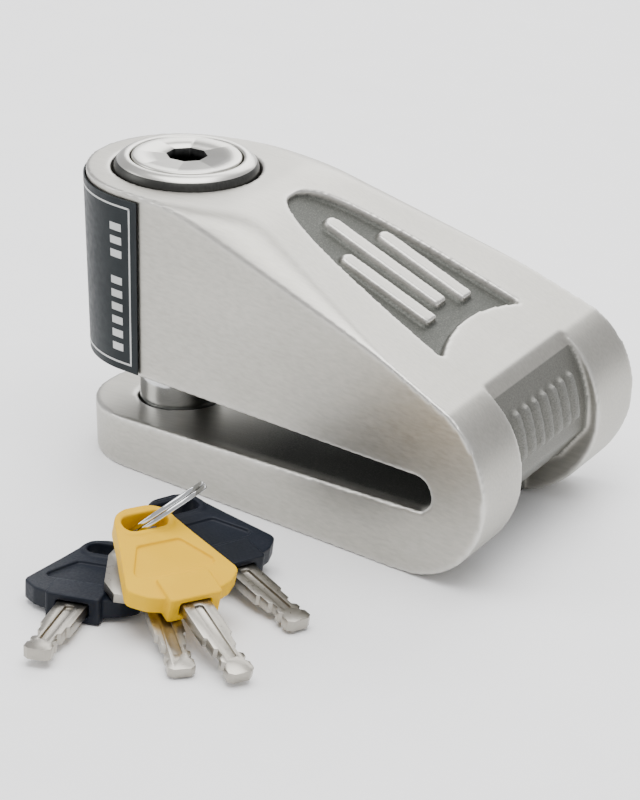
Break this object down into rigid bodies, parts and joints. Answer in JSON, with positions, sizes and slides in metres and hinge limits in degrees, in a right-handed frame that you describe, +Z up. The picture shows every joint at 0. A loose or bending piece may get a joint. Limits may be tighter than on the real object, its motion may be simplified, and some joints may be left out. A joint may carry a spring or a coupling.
{
  "type": "disc brake lock",
  "caption": "Wedge-shaped steel disc brake lock: push-down barrel drives a pin across a rear slot; keys on a ring.",
  "frame": {"origin": "the locking pin's axis where it meets the plane that the lock stands on", "axes": "+Z up along the locking pin, +X towards the nose, +Y away from the keys"},
  "size_m": [0.0872, 0.1103, 0.0516],
  "materials": {
    "satin_steel": "satin brushed",
    "polished_steel": "polished",
    "hard_chrome": "hard chromed",
    "spring_steel": "plain",
    "brass": "stamped",
    "nickel": "nickel plated",
    "black_rubber": "matt",
    "black_sticker": "satin film",
    "black_plastic": "fine grained",
    "yellow_plastic": "fine grained"
  },
  "bodies": {
    "lock": {"lock_body": "satin_steel", "guide_screw": "spring_steel", "label": "black_sticker", "return_spring": "spring_steel"},
    "barrel": {"lock_barrel": "polished_steel", "locking_pin": "hard_chrome", "cross_pin": "spring_steel", "seal_ring": "black_rubber", "latch_spring": "spring_steel"},
    "plug": {"plug": "polished_steel", "anti_drill_disc": "spring_steel", "sidebar": "spring_steel", "drive_cam": "spring_steel", "detainer_disc_1": "brass", "detainer_disc_2": "brass", "detainer_disc_3": "brass", "detainer_disc_4": "brass", "detainer_disc_5": "brass", "disc_spacer_1": "spring_steel", "disc_spacer_2": "spring_steel", "disc_spacer_3": "spring_steel", "disc_spacer_4": "spring_steel"},
    "latch": {"latch_bolt": "spring_steel"},
    "key_bunch": {"key_bow_left": "black_plastic", "key_blade_left": "nickel", "key_bow_right": "black_plastic", "key_blade_right": "nickel", "key_bow_front": "yellow_plastic", "key_blade_front": "nickel", "spare_key": "nickel", "split_ring": "hard_chrome"}
  },
  "joints": [
    {"name": "pin_release", "type": "slide", "parent": "lock", "child": "barrel", "axis": [0, 0, 1], "range_m": [0, 0.014], "deforming": ["return_spring"]},
    {"name": "key_turn", "type": "hinge", "parent": "barrel", "child": "plug", "pos_m": [0, 0, 0.0516], "axis": [0, 0, -1], "range_deg": [0, 90]},
    {"name": "latch_draw", "type": "slide", "parent": "barrel", "child": "latch", "axis": [-1, 0, 0], "range_m": [0, 0.0045], "deforming": ["latch_spring"]},
    {"name": "key_bunch_lift", "type": "slide", "parent": "lock", "child": "key_bunch", "axis": [0, 0, 1], "range_m": [0, 0.04]}
  ],
  "couplings": [
    {"joint": "key_turn", "follows": "pin_release", "rad_per_m": 112.2},
    {"joint": "latch_draw", "follows": "pin_release", "ratio": 0.32143}
  ]
}
